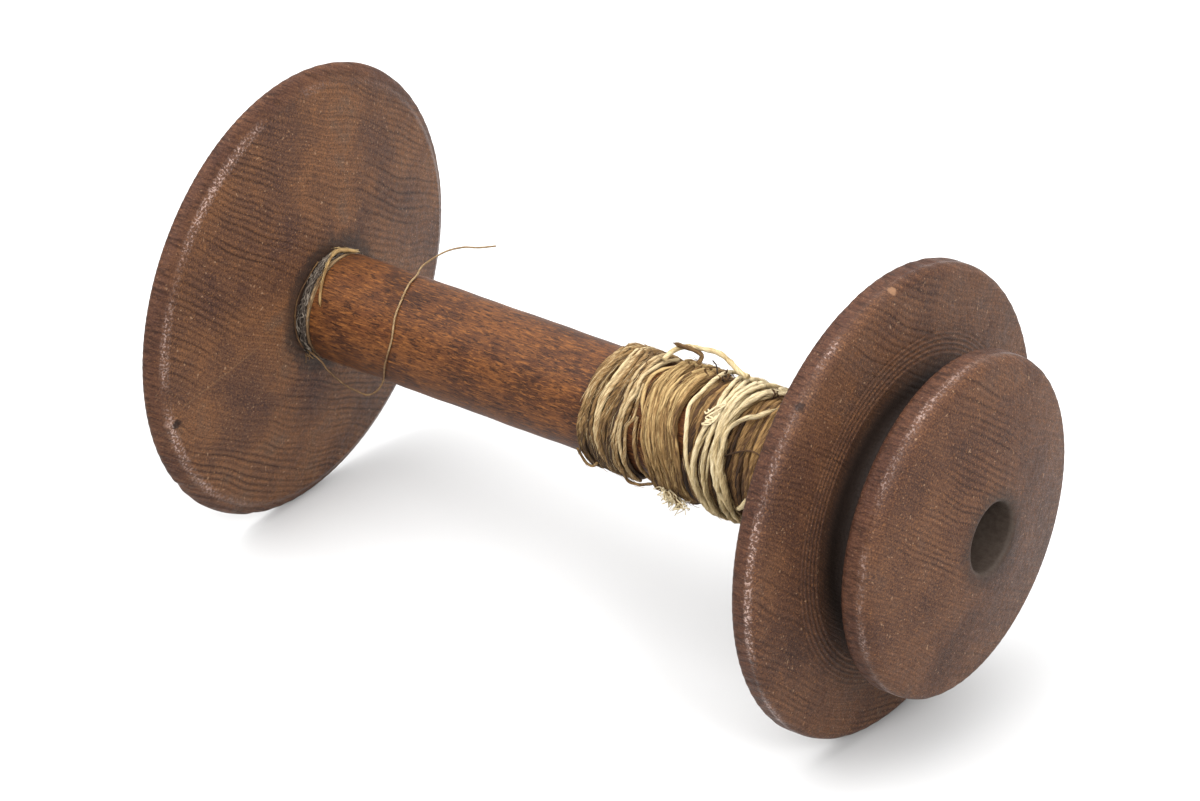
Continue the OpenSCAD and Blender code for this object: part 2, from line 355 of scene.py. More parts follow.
def flange_marks(s, p):
    """A dark bruise by the rim and a long fine scratch from it towards the hub."""
    scratch_way, scratch_side = (0, 0.944, 0.331), (0, -0.331, 0.944)
    from_end = s.vector("SUBTRACT", p, (0, -32.4, -6.4))
    across = s.math("ABSOLUTE", s.vector("DOT_PRODUCT", from_end, scratch_side))
    along = s.vector("DOT_PRODUCT", from_end, scratch_way)
    scratch = s.math("MULTIPLY", s.span(across, 0.2, 0.05, 0.0, 0.2),
                     s.math("MULTIPLY", s.span(along, 0.0, 1.0), s.span(along, 20.0, 14.0)))
    inner = s.span(radius_of(s, p)[0], END_WIDE_X - 1.0, END_WIDE_X)
    return [(s.math("MULTIPLY", scratch, inner), "8a6a4c"),
            (spot(s, p, (-61.6, -33.0, -8.9), 1.1, 0.85), "160c0a"),
            (spot(s, p, (-62.3, -34.6, -8.4), 0.9, 0.25), "8a7064"),
            (spot(s, p, (-61.2, -30.5, 17.5), 0.7, 0.5), "24130d")]


def whorl_marks(s, p):
    """A pale chip and two dark bruises on the big flange's rim, and painted shade: the bore's wall made a
    mottled dark grey.
    """
    mottle = s.span(s.noise(p, 0.9, 3.0, 0.7), 0.35, 0.65, 0.45, 0.95)
    # painted shade inside the bore
    bore_wall_shade = s.math("MULTIPLY", s.span(radius_of(s, p)[1], BORE_R + 1.0, BORE_R + 0.1), mottle)
    return [(spot(s, p, (51.0, -2.1, 37.2), 1.0, 0.5), "9a7558"),
            (spot(s, p, (50.5, -25.2, 27.9), 1.1, 0.7), "140b0a"),
            (spot(s, p, (51.3, 4.0, 35.0), 0.6, 0.5), "1d100c"),
            (bore_wall_shade, "453c35")]


def whorl_edges(s, x, r):
    """The rims of the big flange and of the small disc, and the edges beside their faces, which take the pale
    specks of wear and painted highlight.
    """
    on_big = s.span(r, FLANGE_R - 2.0, FLANGE_R - 1.2)
    outer = s.span(x, DISC_LEFT_X - 0.5, DISC_LEFT_X)
    on_small = s.math("MULTIPLY", s.span(r, DISC_R - 2.4, DISC_R - 1.6), outer)
    big = s.math("MULTIPLY", on_big, s.span(x, RIM_RIGHT_X - 0.8, RIM_RIGHT_X - 2.2, 0.15, 1.0))
    small = s.math("MULTIPLY", on_small, s.span(x, DISC_RIGHT_X - 1.2, DISC_RIGHT_X - 3.0, 0.15, 1.0))
    big_edge = s.math("MULTIPLY", on_big, ridge(s, x, RIM_RIGHT_X - 1.4, 0.9))
    small_edge = s.math("MULTIPLY", on_small, ridge(s, x, DISC_RIGHT_X - 1.9, 1.0))
    return s.math("MAXIMUM", big, small), s.math("MAXIMUM", big_edge, small_edge)


def barrel_wood():
    """Redder wood with its grain along the barrel, flecked orange and dark."""
    s = Shader("barrel_wood")
    p = s.place_mm()
    fleck_at = s.stretched(p, 0.17)
    blotch = s.noise(p, 0.11, 3.0, 0.6)
    streak = s.noise(s.stretched(p, 0.22), 2.6, 5.0, 0.75, 0.6)
    fleck = s.noise(fleck_at, 3.0, 4.0, 0.75, 0.7)
    pores = s.noise(fleck_at, 5.0, 2.0, 0.7)
    tone = s.ramp(s.span(blotch, 0.32, 0.68), [
        (0.0, srgb("372013")), (0.4, srgb("4a2b18")), (0.7, srgb("5c371c")), (1.0, srgb("522f19"))])
    tone = s.mix(s.span(streak, 0.50, 0.60, 0.0, 0.9), tone, srgb("1e0f0a"))
    tone = s.mix(s.span(fleck, 0.52, 0.68, 0.0, 0.85), tone, srgb("825229"))
    tone = s.mix(s.span(fleck, 0.46, 0.34, 0.0, 0.85), tone, srgb("2a1710"))
    tone = s.mix(s.span(pores, 0.56, 0.78, 0.0, 0.5), tone, srgb("22130d"))
    tone = s.mix(s.span(pores, 0.38, 0.22, 0.0, 0.3), tone, srgb("8a6040"))
    s.feed(s.surface.inputs["Base Color"], tone)
    s.feed(s.surface.inputs["Roughness"], s.span(fleck, 0.3, 0.7, 0.42, 0.56))
    s.surface.inputs["Specular IOR Level"].default_value = 0.14
    relief = s.math("ADD", s.math("MULTIPLY", fleck, 0.6), s.math("MULTIPLY", pores, 0.5))
    s.bump(relief, 0.5, 0.00008)
    return s.material


# ---------------- turned wood

def arc(r, x, radius, start, end, steps):
    """Points on an arc of an outline; angles run from the radius direction towards +X."""
    turn = np.radians(np.linspace(start, end, steps + 1))
    return [(r + radius * math.cos(a), x + radius * math.sin(a)) for a in turn]


def face_curve(start, end, power, steps):
    """Points down a turned face; a power above 1 makes it bulge."""
    return [(start[0] + (end[0] - start[0]) * t, start[1] + (end[1] - start[1]) * (1 - (1 - t) ** power))
            for t in (i / steps for i in range(1, steps))]


def fill_in(outline, step):
    """The outline with no gap between its points longer than step."""
    dense = []
    for a, b in zip(outline, outline[1:] + outline[:1]):
        pieces = max(1, math.ceil(math.dist(a, b) / step))
        dense += [(a[0] + (b[0] - a[0]) * i / pieces, a[1] + (b[1] - a[1]) * i / pieces)
                  for i in range(pieces)]
    return dense


def add_mesh(name, points, faces, material, nodes, uv=None):
    """A smooth mesh from points in millimetres that rides on the bobbin."""
    mesh = bpy.data.meshes.new(name)
    mesh.from_pydata((np.asarray(points) * MM).tolist(), [], np.asarray(faces).tolist())
    if uv is not None:
        layer = mesh.uv_layers.new(name="strand")
        corner = np.zeros(len(mesh.loops), np.int32)
        mesh.loops.foreach_get("vertex_index", corner)
        layer.data.foreach_set("uv", np.asarray(uv, np.float32)[corner].ravel())
    mesh.polygons.foreach_set("use_smooth", np.ones(len(mesh.polygons), bool))
    mesh.materials.append(material)
    mesh.validate()
    made = bpy.data.objects.new(name, mesh)
    bpy.context.scene.collection.objects.link(made)
    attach(made, "root")
    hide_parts(*nodes)
    return made


def ripple(angle, orders, size, seed):
    """A gentle unevenness round a rim, the same every run."""
    local = np.random.default_rng(seed)
    total = np.zeros_like(angle)
    for order in orders:
        total += local.normal() * np.sin(order * angle + local.uniform(0, 6.283)) / math.sqrt(order)
    return total * size


def turn_piece(name, outline, sectors, material, nodes, uneven, step):
    """A turned solid. uneven(r, x, angle) gives how far each point moves outwards and along X."""
    ring = np.array(fill_in(outline, step))
    angle = np.linspace(0, 2 * math.pi, sectors, endpoint=False)
    r = np.repeat(ring[:, 0:1], sectors, 1)
    x = np.repeat(ring[:, 1:2], sectors, 1)
    a = np.repeat(angle[None, :], len(ring), 0)
    out, shift = uneven(r, x, a)
    r = r + out
    x = x + shift
    points = np.stack([x, r * np.cos(a), r * np.sin(a)], -1).reshape(-1, 3)
    i = np.arange(len(ring))[:, None] * sectors
    j = np.roll(np.arange(len(ring)), -1)[:, None] * sectors
    k = np.arange(sectors)[None, :]
    n = (k + 1) % sectors
    faces = np.stack([i + k, i + n, j + n, j + k], -1).reshape(-1, 4)
    return add_mesh(name, points, faces, material, nodes)


def dents(r, x, a, places):
    """Small knocks: (angle in degrees, radius, x, width, depth) pushes the surface inwards."""
    total = np.zeros_like(r)
    for angle, at_r, at_x, width, depth in places:
        turn = (a - math.radians(angle) + math.pi) % (2 * math.pi) - math.pi
        gap = (turn * at_r) ** 2 + (r - at_r) ** 2 + (x - at_x) ** 2
        total += depth * np.exp(-gap / (2 * (width / 2.2) ** 2))
    return total


def ring_relief(r, a, spacing=1.25):
    """The rims stand a hair lower in the soft part of each growth ring."""
    across = r * (RING_ACROSS[1] * np.cos(a) + RING_ACROSS[2] * np.sin(a))
    return np.sin(2 * math.pi * across / spacing + 1.3 * np.sin(across * 0.31))


def rim_mask(r, edge, width=2.5):
    """Rises from 0 to 1 over that width before the edge."""
    return np.clip((r - (edge - width)) / width, 0, 1)


def make_end_flange():
    edge = 0.8   # rounding of the outer face's edge
    back, hub = (HUB_R, LEFT_X), (HUB_R, END_HUB_X)
    crest = (FLANGE_R - END_BEVEL_DROP, END_BEVEL_X)
    bevel = [(FLANGE_R - END_BEVEL_DROP * t ** 2, END_WIDE_X + END_BEVEL_W * t)
             for t in (i / 12 for i in range(13))]
    outline = ([(SPIGOT_R, LEFT_X), back]
               + face_curve(back, (FLANGE_R - edge, END_WIDE_X - edge), 0.85, 16)
               + arc(FLANGE_R - edge, END_WIDE_X, edge, -90, -10, 6)
               + bevel + face_curve(crest, hub, 1.2, 24)
               + [hub, (SPIGOT_R, END_HUB_X)])
    rim_dents = [(12, FLANGE_R, END_WIDE_X, 1.6, 0.35), (20, FLANGE_R, END_WIDE_X, 1.2, 0.25),
                 (216, FLANGE_R, END_WIDE_X, 1.3, 0.3), (250, FLANGE_R, END_WIDE_X, 1.6, 0.2)]
    bruise = [(211, 33.5, END_BEVEL_X, 1.6, 0.3)]

    def uneven(r, x, a):
        at_rim = rim_mask(r, FLANGE_R)
        out = ripple(a, (2, 3, 5, 7), 0.05, 11) * at_rim - 0.03 * ring_relief(r, a) * at_rim
        out -= dents(r, x, a, rim_dents)
        crest_wear = 0.05 * ring_relief(r, a, 0.9) * np.exp(-((r - crest[0]) / 0.7) ** 2)
        return out, crest_wear - dents(r, x, a, bruise)

    wood = end_grain("end_flange_wood", (3.0, 41.0, 7.0), ("44302a", "5a3e2e", "6d4a32", "5f4a3c"),
                     flange_grime_and_shade, flange_edges, flange_marks)
    return turn_piece("turned_end_flange", outline, 720, wood, ["end_flange"],
                      uneven, 1.2)


def tool_marks(r):
    """Fine rings left by the turner's gouge beside the drive-band groove."""
    fade = np.clip((32 - r) / 5, 0, 1) * np.clip((r - 19) / 2, 0, 1)
    return 0.08 * np.sin(r * 2 * math.pi / TOOL_STEP) * fade


def make_drive_whorl():
    back_edge, front_edge = 1.1, 1.7           # roundings of the big flange's rim
    disc_back_edge, disc_front_edge = 1.4, 2   # and of the small disc's
    groove_round, mouth_round = 2.2, 0.9
    hub = (HUB_R, WHORL_HUB_X)
    groove_x = RIM_RIGHT_X + GROOVE_W * 0.56
    mouth_r = BORE_R + mouth_round
    # the wall of the groove that shows, in steps fine enough for the tool marks
    groove_wall = [(DISC_R + 1 - 0.2 * i, RIM_RIGHT_X + 1.1 + 0.04 * i) for i in range(21)]
    outline = ([(SPIGOT_R, WHORL_HUB_X), hub]
               + face_curve(hub, (FLANGE_R - back_edge, RIM_LEFT_X), 0.8, 16)
               + arc(FLANGE_R - back_edge, RIM_LEFT_X + back_edge, back_edge, -90, 0, 6)
               + arc(FLANGE_R - front_edge, RIM_RIGHT_X - front_edge, front_edge, 0, 80, 8)
               + groove_wall
               + arc(GROOVE_R + groove_round, groove_x, groove_round, 260, 100, 9)
               + arc(DISC_R - disc_back_edge, DISC_LEFT_X + disc_back_edge, disc_back_edge, -80, 0, 6)
               + arc(DISC_R - disc_front_edge, DISC_RIGHT_X - disc_front_edge, disc_front_edge, 0, 75, 8)
               + face_curve((DISC_R - 1.5, DISC_RIGHT_X), (mouth_r, RIGHT_X), 1.2, 16)
               + arc(mouth_r, RIGHT_X - mouth_round, mouth_round, 90, 180, 6)
               + [(BORE_R, SOCKET_END_X), (SPIGOT_R, SOCKET_END_X)])
    rim_dents = [(103, FLANGE_R, RIM_LEFT_X + 1.5, 1.8, 0.4), (95, FLANGE_R, RIM_LEFT_X + 2, 1.5, 0.3),
                 (75, FLANGE_R, RIM_LEFT_X + 2, 2.0, 0.25)]

    def uneven(r, x, a):
        big = rim_mask(r, FLANGE_R)
        small = rim_mask(r, DISC_R) * (x > DISC_LEFT_X - 0.5)
        out = ripple(a, (2, 3, 5, 6), 0.05, 23) * big + ripple(a, (2, 3, 4, 7), 0.04, 29) * small
        out += -0.035 * ring_relief(r, a) * (big + small)
        out -= dents(r, x, a, rim_dents)
        on_face = (x > RIM_RIGHT_X + 0.5) & (x < DISC_LEFT_X - 3)
        return out, tool_marks(r) * on_face

    wood = end_grain("whorl_wood", (60.0, 5.0, 31.0), ("3d2a23", "503629", "5f412f", "523d33"),
                     whorl_grime_and_shade, whorl_edges, whorl_marks)
    return turn_piece("turned_drive_whorl", outline, 640, wood, ["drive_whorl"],
                      uneven, 1.2)


def make_barrel():
    mouth, shoulder = 0.45, 0.4   # the bore's chamfer and the shoulder's rounding
    outline = ([(BORE_R + mouth, LEFT_X), (SPIGOT_R, LEFT_X), (SPIGOT_R, SHOULDER_X)]
               + arc(BARREL_R - shoulder, SHOULDER_X + shoulder, shoulder, -90, 0, 4)
               + [(BARREL_R, WHORL_HUB_X), (SPIGOT_R, WHORL_HUB_X), (SPIGOT_R, SOCKET_END_X),
                  (BORE_R, SOCKET_END_X), (BORE_R, LEFT_X + mouth)])

    def uneven(r, x, a):
        skin = r > BARREL_R - 0.05
        wave = 0.03 * np.sin(x * 0.35 + 1) + 0.02 * np.sin(x * 0.9 + 2 * np.cos(a))
        return wave * skin, np.zeros_like(r)

    return turn_piece("turned_barrel", outline, 256, barrel_wood(), ["barrel"], uneven, 1.0)


make_end_flange()
make_drive_whorl()
make_barrel()


# ---------------- yarn material

def yarn(name, dark, middle, pale, twist=0.35, rough=0.8):
    """Spun fibres: streaks that run round each strand at the twist, and a tone of its own."""
    s = Shader(name)
    lay = s.node("ShaderNodeSeparateXYZ", {0: s.node("ShaderNodeUVMap", uv_map="strand").outputs[0]})
    along = lay.outputs[1]
    turned = s.math("SUBTRACT", lay.outputs[0], s.math("MULTIPLY", along, twist))
    fine = s.noise(s.point(s.math("MULTIPLY", turned, 9.0), s.math("MULTIPLY", along, 0.7)), 1.0, 3.0, 0.7)
    wide = s.noise(s.point(s.math("MULTIPLY", turned, 3.0), s.math("MULTIPLY", along, 0.25)), 1.0, 2.0, 0.6)
    soiled = s.noise(s.place_mm(), 0.22, 3.0, 0.6)
    own = s.node("ShaderNodeAttribute", attribute_name="tone").outputs["Fac"]
    tone = s.math("ADD", own, s.math("MULTIPLY_ADD", fine, 1.7, -0.85))
    tone = s.math("ADD", tone, s.math("MULTIPLY_ADD", wide, 1.2, -0.6))
    tone = s.math("ADD", tone, s.math("MULTIPLY_ADD", soiled, 0.6, -0.3))
    colour = s.ramp(tone, [(0.0, srgb(dark)), (0.5, srgb(middle)), (1.0, srgb(pale))])
    s.feed(s.surface.inputs["Base Color"], colour)
    s.surface.inputs["Roughness"].default_value = rough
    s.surface.inputs["Specular IOR Level"].default_value = 0.25
    s.bump(s.math("ADD", fine, s.math("MULTIPLY", wide, 0.8)), 1.0, 0.00025)
    return s.material


CREAM = yarn("cream_yarn", "584329", "b39c70", "dccba5")
TAN = yarn("tan_yarn", "402a16", "82643c", "b99d6c", twist=0.1)
BROWN = yarn("brown_yarn", "261910", "5b4026", "967548")
MIXED = yarn("mixed_yarn", "352517", "80623a", "c3ae86")
THREAD = yarn("thin_thread", "3a271a", "73583b", "9c8461")
LINT = yarn("grey_lint", "302822", "564b42", "8a7e70", twist=0.0, rough=0.95)


# ---------------- strands

STRAND_STEP = 0.45   # between the points of a strand


def smooth(points, spacing=STRAND_STEP):
    """Even points along a smooth curve through the given ones."""
    p = np.asarray(points, float)
    padded = np.vstack([2 * p[0] - p[1], p, 2 * p[-1] - p[-2]])
    t = np.linspace(0, 1, 12, endpoint=False)[:, None]
    spans = [0.5 * (2 * b + (c - a) * t + (2 * a - 5 * b + 4 * c - d) * t ** 2
                    + (3 * b - a - 3 * c + d) * t ** 3)
             for a, b, c, d in zip(padded, padded[1:], padded[2:], padded[3:])]
    curve = np.vstack(spans + [p[-1:]])
    run = np.concatenate([[0], np.cumsum(np.linalg.norm(np.diff(curve, axis=0), axis=1))])
    at = np.linspace(0, run[-1], max(4, int(run[-1] / spacing) + 1))
    return np.stack([np.interp(at, run, curve[:, k]) for k in range(3)], -1)


def wander(count, wave, size):
    """Slow random drift along a strand of count points; wave is in points."""
    knots = rng.normal(0, size, int(count / wave) + 4)
    at = np.arange(count) / wave
    low = at.astype(int)
    ease = (at - low) ** 2 * (3 - 2 * (at - low))
    return knots[low] * (1 - ease) + knots[low + 1] * ease


def wound(route, r, drift, lift=0.08):
    """A path round the barrel from (angle in degrees, x) pairs, with r one radius or one for each."""
    angle, x = np.array(route, float).T
    radius = np.broadcast_to(np.asarray(r, float), angle.shape)
    flat = smooth(np.stack([np.radians(angle) * 10, x, radius], -1))
    count = len(flat)
    angle, x = flat[:, 0] / 10, flat[:, 1] + wander(count, 12, drift)
    radius = flat[:, 2] + np.abs(wander(count, 9, lift))
    return np.stack([x, radius * np.cos(angle), radius * np.sin(angle)], -1)


def joined_turns(turns):
    """One long winding from the visible parts of its turns, which it joins round the back."""
    return [(angle + 360 * i, x) for i, turn in enumerate(turns) for angle, x in turn]


def unit(v):
    return v / np.maximum(np.linalg.norm(v, axis=-1, keepdims=True), 1e-9)


def carried_sides(direction):
    """Directions square to a path, carried along it without twisting."""
    side = np.cross(direction[0], (0.2, 0.5, 0.85))
    sides = []
    for d in direction:
        side = unit(side - np.dot(side, d) * d)
        sides.append(side)
    return np.array(sides)


class Strands:
    """Many strands gathered into one mesh."""

    def __init__(self):
        self.points, self.faces, self.uv, self.tone, self.count = [], [], [], [], 0

    def add(self, path, width, height=None, *, tone, sides=8, ply=0.08, lay=2.2, taper=(0, 0),
            flat_out=True):
        """One strand. ply is how deep its twist shows, and lay the length of one turn of it. taper is the
        length over which each end thins. flat_out keeps the strand's height pointing away from the axis."""
        height = height or width
        direction = unit(np.gradient(path, axis=0))
        if flat_out:
            up = path * (0, 1, 1)
            up = unit(up - (up * direction).sum(1, keepdims=True) * direction)
        else:
            up = carried_sides(direction)
        side = np.cross(direction, up)
        run = np.concatenate([[0], np.cumsum(np.linalg.norm(np.diff(path, axis=0), axis=1))])
        count = len(path)
        theta = np.linspace(-math.pi, math.pi, sides, endpoint=False)[None, :]
        swell = 1 + ply * np.cos(2 * theta - 2 * math.pi * run[:, None] / lay)
        swell = swell * (1 + wander(count, 5, 0.05))[:, None]
        ends = np.ones(count)
        if taper[0]:
            ends *= np.clip(run / taper[0], 0.12, 1)
        if taper[1]:
            ends *= np.clip((run[-1] - run) / taper[1], 0.12, 1)
        swell = swell * ends[:, None]
        rise = (np.cos(theta) * swell * height / 2)[..., None] * up[:, None, :]
        reach = (np.sin(theta) * swell * width / 2)[..., None] * side[:, None, :]
        self.points.append((path[:, None, :] + rise + reach).reshape(-1, 3))
        i = np.arange(count - 1)[:, None] * sides
        k = np.arange(sides)[None, :]
        n = (k + 1) % sides
        walls = np.stack([i + k, i + sides + k, i + sides + n, i + n], -1).reshape(-1, 4)
        cap = np.array([(j, j + 1, sides - 2 - j, sides - 1 - j) for j in range(sides // 2 - 1)])
        last = cap[:, ::-1] + (count - 1) * sides
        self.faces.append(np.vstack([walls, cap, last]) + self.count)
        round_it = (theta + math.pi) * (width + height) / 4
        u = np.broadcast_to(round_it, (count, sides))
        v = np.broadcast_to(run[:, None] + rng.uniform(0, 500), (count, sides))
        self.uv.append(np.stack([u, v], -1).reshape(-1, 2))
        height_above = path[:, 2] / np.maximum(np.hypot(path[:, 1], path[:, 2]), 1)
        own = tone + wander(count, 14, 0.08) + 0.24 * height_above   # painted light: the upper side is made lighter
        self.tone.append(np.repeat(own, sides))
        self.count += count * sides

    def fuzz(self, path, number, length, thickness=0.07, stray=0.5, tone=0.7):
        """Loose fibres that lie along a strand and lift off it."""
        for start in rng.integers(0, max(1, len(path) - 4), number):
            steps = max(4, int(rng.uniform(0.5, 1.3) * length / STRAND_STEP))
            piece = path[start:start + steps]
            if len(piece) < 4:
                continue
            outward = unit(piece * (0, 1, 1))
            t = np.linspace(0, 1, len(piece))[:, None]
            lifted = piece + outward * (0.3 + t ** 2 * stray * rng.uniform(0.1, 1))
            lifted += np.array([1.0, 0, 0]) * (rng.normal(0, stray * 0.6) * t + rng.normal(0, 0.25))
            lifted += np.stack([wander(len(piece), 4, 0.06) for _ in range(3)], -1)
            self.add(lifted, thickness, sides=4, tone=tone + rng.normal(0, 0.15), ply=0, taper=(0, 1.0))

    def finish(self, name, material, nodes):
        made = add_mesh(name, np.vstack(self.points), np.vstack(self.faces), material, nodes,
                        np.vstack(self.uv))
        layer = made.data.attributes.new("tone", "FLOAT", "POINT")
        layer.data.foreach_set("value", np.concatenate(self.tone).astype(np.float32))
        return made


# ---------------- the loose thread

THREAD_D = 0.3
THREAD_ROUTE = [(-55.5, -7.5, -5), (-53.5, -7, -6.5), (-51.5, -7.5, -7.5), (-48, -8, -8.5),
                (-45, -8.5, -8.5), (-43, -8.5, -8.5), (-41.5, -8, -7.5), (-41, -7, -6),
                (-39, -9, -1.5), (-38, -8.5, 3), (-38.5, -7, 6), (-39, -5, 7.5), (-40, -1.5, 9),
                (-41, 2, 9), (-41.5, 4, 9.5), (-40, 5, 11), (-38, 6, 12.5), (-35.5, 7, 13.5),
                (-33, 7.5, 14), (-30, 8, 15)]


def make_loose_thread():
    path = smooth(THREAD_ROUTE, 0.3)
    strands = Strands()
    strands.add(path, THREAD_D, tone=0.55, ply=0.06, lay=1.4, flat_out=False)
    thread = strands.finish("loose_thread_spun", THREAD, ["loose_thread"])


make_loose_thread()


# ---------------- the winding

# the front of each turn, from the top (90 degrees) down to the underside, as (angle, x)
STRIPED_TURNS = [
    [(85, 0.5), (115, 0.5), (135, 0), (155, 0), (175, -0.5), (205, -0.5), (225, 0)],
    [(85, 2), (110, 1.5), (130, 1), (170, 1), (195, 2), (220, 2.5)],
    [(80, 2.5), (105, 3), (125, 3), (145, 2.5), (175, 2.5), (195, 3), (220, 3.5)],
    [(80, 3.5), (105, 4.5), (130, 4.5), (150, 4), (170, 3.5), (215, 4)],
    [(80, 4.5), (105, 5.5), (145, 5.5), (185, 5), (220, 4.5)],
    [(80, 6), (110, 6.2), (150, 6.5), (195, 5.8), (220, 6)]]
STRIPED_TONES = (0.45, 0.2, 0.78, 0.32, 0.15, 0.45)
PALE_TURN = [(70, 8.5), (85, 8), (100, 7.5), (115, 7), (130, 7.5), (145, 7), (175, 7), (200, 7.5), (230, 8)]
LAST_STRIPED = [(150, 9), (170, 9.2), (185, 9.5), (205, 10), (230, 11)]
GAP_TURN = [(120, 8), (150, 8.8), (160, 8), (170, 8), (185, 8), (205, 7.5), (240, 7.5)]
TOW_LEFT = [(75, 9.5), (105, 9.5), (120, 9.5), (145, 10.5), (165, 11), (185, 12), (205, 12.5)]
TOW_RIGHT = [(75, 16), (105, 15.5), (120, 15.5), (145, 16), (165, 17.5), (185, 18.5), (205, 18.5)]
TOW_BACK_LEFT = [(260, 11), (320, 9.5), (430, 9.5)]
TOW_BACK_RIGHT = [(260, 18), (320, 16), (430, 16)]
TOW_SHORT = [(85, 10.5), (105, 8.5), (120, 8.5), (140, 9.7), (150, 10.5)]
SPARSE_LEFT = [(60, 15.5), (100, 16.5), (130, 17.5), (160, 18), (200, 18.5), (240, 18.5)]
SPARSE_RIGHT = [(60, 18.5), (100, 19), (130, 20), (160, 20.5), (200, 21), (240, 21)]
BROWN_LOW_X, BROWN_HIGH_X = 18.2, 39.2
BROWN_CROSS = [(160, 25.8), (155, 26.5), (150, 28), (145, 30), (145, 31.5), (148, 34)]
CREAM_LONE = [(70, 18), (90, 18), (110, 18), (125, 17.5), (135, 18), (150, 19), (170, 20), (185, 21),
              (200, 22), (225, 22.5)]
CREAM_TURNS = [
    [(75, 20.5), (90, 21), (110, 21.5), (125, 22), (140, 21.5), (160, 21), (175, 21), (195, 21.5),
     (215, 22.5)],
    [(75, 22), (90, 22.5), (115, 22.5), (135, 23), (170, 23), (200, 23.5), (220, 24)],
    [(75, 23.5), (110, 23.5), (130, 23.5), (145, 24), (165, 24.5), (185, 25.5), (210, 27.5)],
    [(75, 25), (100, 24), (120, 24), (140, 24.5), (160, 25), (175, 26.5), (210, 28)],
    [(70, 27), (85, 26.5), (100, 25.5), (120, 25), (135, 24.7), (150, 25.5), (175, 25.8), (200, 26)]]
CREAM_LOOSE = [(100, 31), (115, 29), (120, 27.5), (130, 26), (140, 25.5), (155, 26), (170, 26.5), (185, 27.5),
               (215, 28)]
CREAM_TOP = [(55, 30), (70, 29.5), (80, 28.5), (85, 27), (100, 26.5), (115, 25.5), (130, 25)]
# points in X, Y and Z
CREAM_CROOK = [(20.5, -6.5, 8.6), (21.2, -7, 8.8), (22, -6, 9.6), (23.2, -5.6, 10), (22.6, -6.8, 9.4),
               (21.4, -7.6, 8.4), (22.4, -7.8, 8.2), (21.2, -8.4, 7.6), (22.6, -8.2, 7.9), (23, -7, 9)]


def blend(left, right, share, skew=0.0):
    """The route that share of the way from one border to the other. skew slants it across the front."""
    return [(a, x + (right_x - x) * float(np.clip(share + skew * (a - 140) / 60, 0, 1)))
            for (a, x), (_, right_x) in zip(left, right)]


def full_turn(route, past_end=50, close=0.0):
    """A visible route carried on round the back to where it began, or close to it."""
    start, end = route[0], route[-1]
    return route + [(end[0] + past_end, end[1]), (start[0] + 300, start[1]),
                    (start[0] + 358, start[1] + close)]


def make_striped_winding():
    strands = Strands()
    under = joined_turns([[(60, x), (150, x - 0.1), (240, x + 0.3)] for x in np.arange(-0.4, 8.0, 0.95)])
    strands.add(wound(under, BARREL_R + 0.42, 0.08, 0.04), 1.05, 0.8, tone=0.1)
    for turn, tone in zip(STRIPED_TURNS, STRIPED_TONES):
        whole = full_turn(turn, 70, 0.1)
        for shift, darker, rise in ((-0.42, 0.0, 0.95), (0.0, -0.25, 0.7), (0.4, -0.1, 0.98)):
            path = wound([(a, x + shift) for a, x in whole], BARREL_R + rise, 0.1, 0.1)
            strands.add(path, rng.uniform(0.5, 0.68), 0.6, tone=tone + darker + rng.normal(0, 0.08),
                        ply=0.12)
            strands.fuzz(path, 14, 4)
    for route, tone, width in ((PALE_TURN, 0.74, 0.55), (GAP_TURN, 0.55, 0.42)):
        path = wound(route, BARREL_R + 1.1, 0.04, 0.05)
        strands.add(path, width, 0.6, tone=tone)
        strands.fuzz(path, 8, 5)
    strands.add(wound(LAST_STRIPED, BARREL_R + 0.5, 0.03), 0.6, tone=0.5)
    strands.finish("striped_yarn", MIXED, ["striped_winding"])


def make_tan_winding():
    strands = Strands()
    for rise, count, tone, width in ((0.35, 9, 0.1, 1.2), (0.8, 14, 0.35, 0.75), (1.1, 17, 0.5, 0.5),
                                     (1.3, 8, 0.6, 0.38)):
        for i in range(count):
            share = (i + 0.5) / count + rng.normal(0, 0.03)
            skew = rng.normal(0, 0.07)
            route = blend(TOW_LEFT, TOW_RIGHT, share, skew) + blend(TOW_BACK_LEFT, TOW_BACK_RIGHT, share)
            path = wound(route, BARREL_R + rise, 0.22, 0.14)
            strands.add(path, width * rng.uniform(0.7, 1.3), rng.uniform(0.35, 0.55),
                        tone=tone + rng.normal(0, 0.22))
            strands.fuzz(path, 9, 8, thickness=0.08, tone=0.55)
    # a strand along the right border, and a short one across the left border
    for route, tone in ((TOW_RIGHT, 0.25), (TOW_SHORT, 0.6)):
        strands.add(wound(route, BARREL_R + 1.3, 0.1), 0.7, 0.5, tone=tone, taper=(3, 3))
    # thin darker strands past the right border
    for i in range(5):
        route = blend(SPARSE_LEFT, SPARSE_RIGHT, (i + 0.5) / 5)
        strands.add(wound(route, BARREL_R + 0.3 + 0.1 * i, 0.15), 0.75, 0.6, tone=0.1 + 0.06 * i)
    strands.finish("tan_tow", TAN, ["tan_winding"])


def brown_path(route, shift, rise, drift, lift):
    """A brown turn, kept between the tan tow and the whorl."""
    kept = [(a, float(np.clip(x + shift, BROWN_LOW_X, BROWN_HIGH_X))) for a, x in route]
    return wound(kept, BARREL_R + rise, drift, lift)


